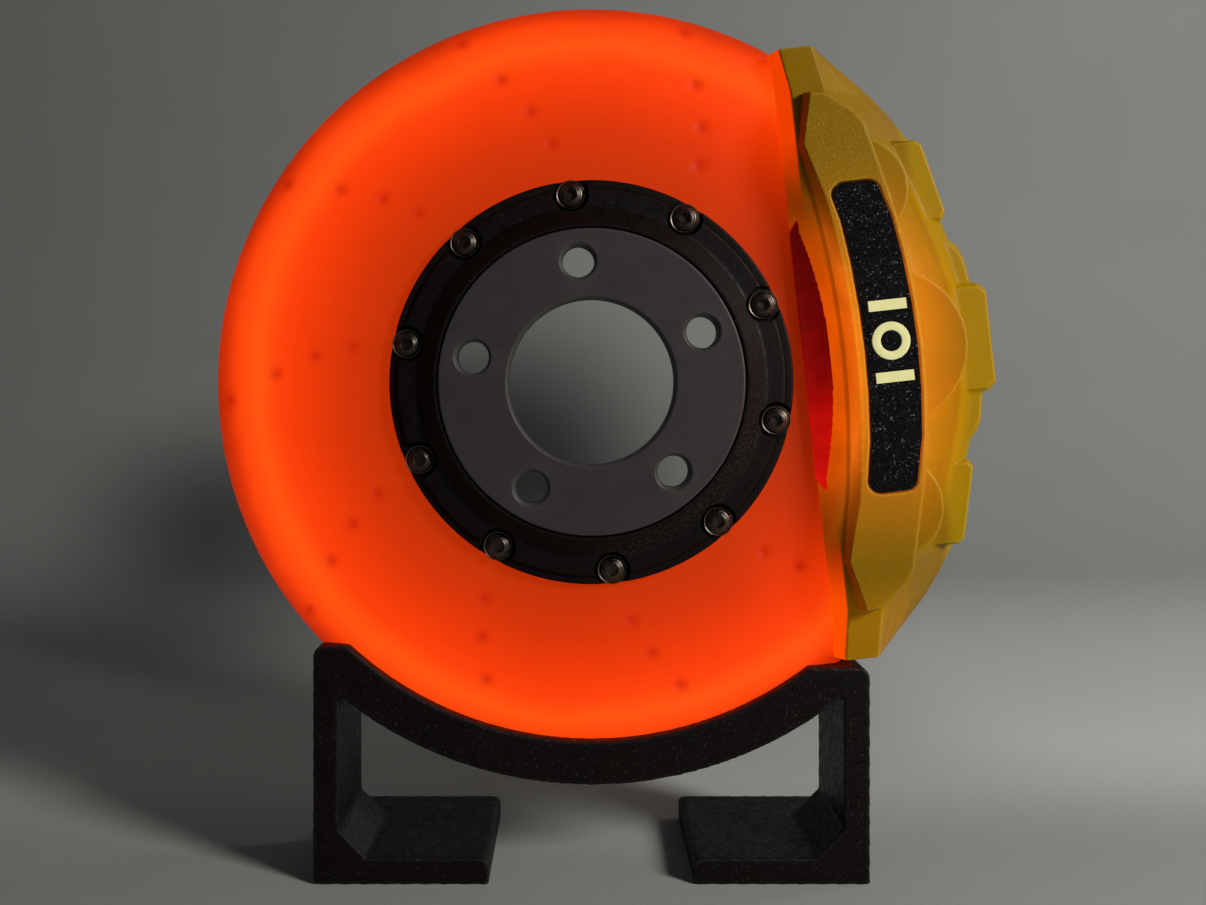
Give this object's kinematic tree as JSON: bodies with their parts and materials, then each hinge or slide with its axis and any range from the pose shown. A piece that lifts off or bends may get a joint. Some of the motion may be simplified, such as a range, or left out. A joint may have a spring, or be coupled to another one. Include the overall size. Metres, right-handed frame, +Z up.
{
  "type": "brake disc lamp",
  "caption": "Desk lamp shaped as a brake disc with a caliper: the glowing disc has a bolted hat, and its rim turns in the groove of a black cradle on feet.",
  "frame": {"origin": "centre of the bounding box's footprint, on the surface that the feet stand on", "axes": "+Z up; the lamp faces -Y; +X is to the right of a viewer in front, on the caliper's side; the disc's axis runs along Y"},
  "size_m": [0.1548, 0.0454, 0.172],
  "materials": {
    "glowing_print": "translucent print, lit from inside",
    "black_print": "printed, fine layer lines",
    "grey_print": "printed, smooth bed face",
    "yellow_print": "printed, satin",
    "red_print": "printed, satin",
    "cream_print": "printed, satin",
    "badge_panel": "printed on a glitter bed",
    "white_print": "printed, matte",
    "button_print": "printed, satin",
    "steel": "bright zinc",
    "led_tape": "white tape",
    "board": "solder mask",
    "lead": "wire jacket"
  },
  "bodies": {
    "stand": {"cradle_stand": "black_print"},
    "lamp": {"disc_front_shell": "glowing_print", "disc_rear_shell": "glowing_print", "hat_ring": "black_print", "hub_face": "grey_print", "core_drum": "white_print", "led_tape": "led_tape", "rear_cover": "black_print", "driver_board": "board", "usb_inlet": "steel", "switch_body": "black_print", "lead_to_switch": "lead", "lead_to_tape": "lead", "caliper_front": "yellow_print", "caliper_rear": "yellow_print", "caliper_plate": "yellow_print", "badge_panel": "badge_panel", "badge_ring": "cream_print", "badge_bar_1": "cream_print", "badge_bar_2": "cream_print", "pad_front": "red_print", "pad_rear": "red_print", "caliper_screw_upper": "steel", "caliper_screw_lower": "steel", "caliper_nut_upper": "steel", "caliper_nut_lower": "steel", "hat_screw_01": "steel", "hat_screw_02": "steel", "hat_screw_03": "steel", "hat_screw_04": "steel", "hat_screw_05": "steel", "hat_screw_06": "steel", "hat_screw_07": "steel", "hat_screw_08": "steel", "hat_screw_09": "steel", "hat_screw_10": "steel"},
    "button": {"power_button": "button_print"}
  },
  "joints": [
    {"name": "lamp_turn", "type": "hinge", "parent": "stand", "child": "lamp", "pos_m": [-0.00244, -0.00325, 0.097], "axis": [0, -1, 0], "range_deg": [0, 158]},
    {"name": "button_press", "type": "slide", "parent": "lamp", "child": "button", "axis": [0, -1, 0], "range_m": [0, 0.0012], "stiffness_N_per_m": 900, "springref_m": -0.0006}
  ]
}
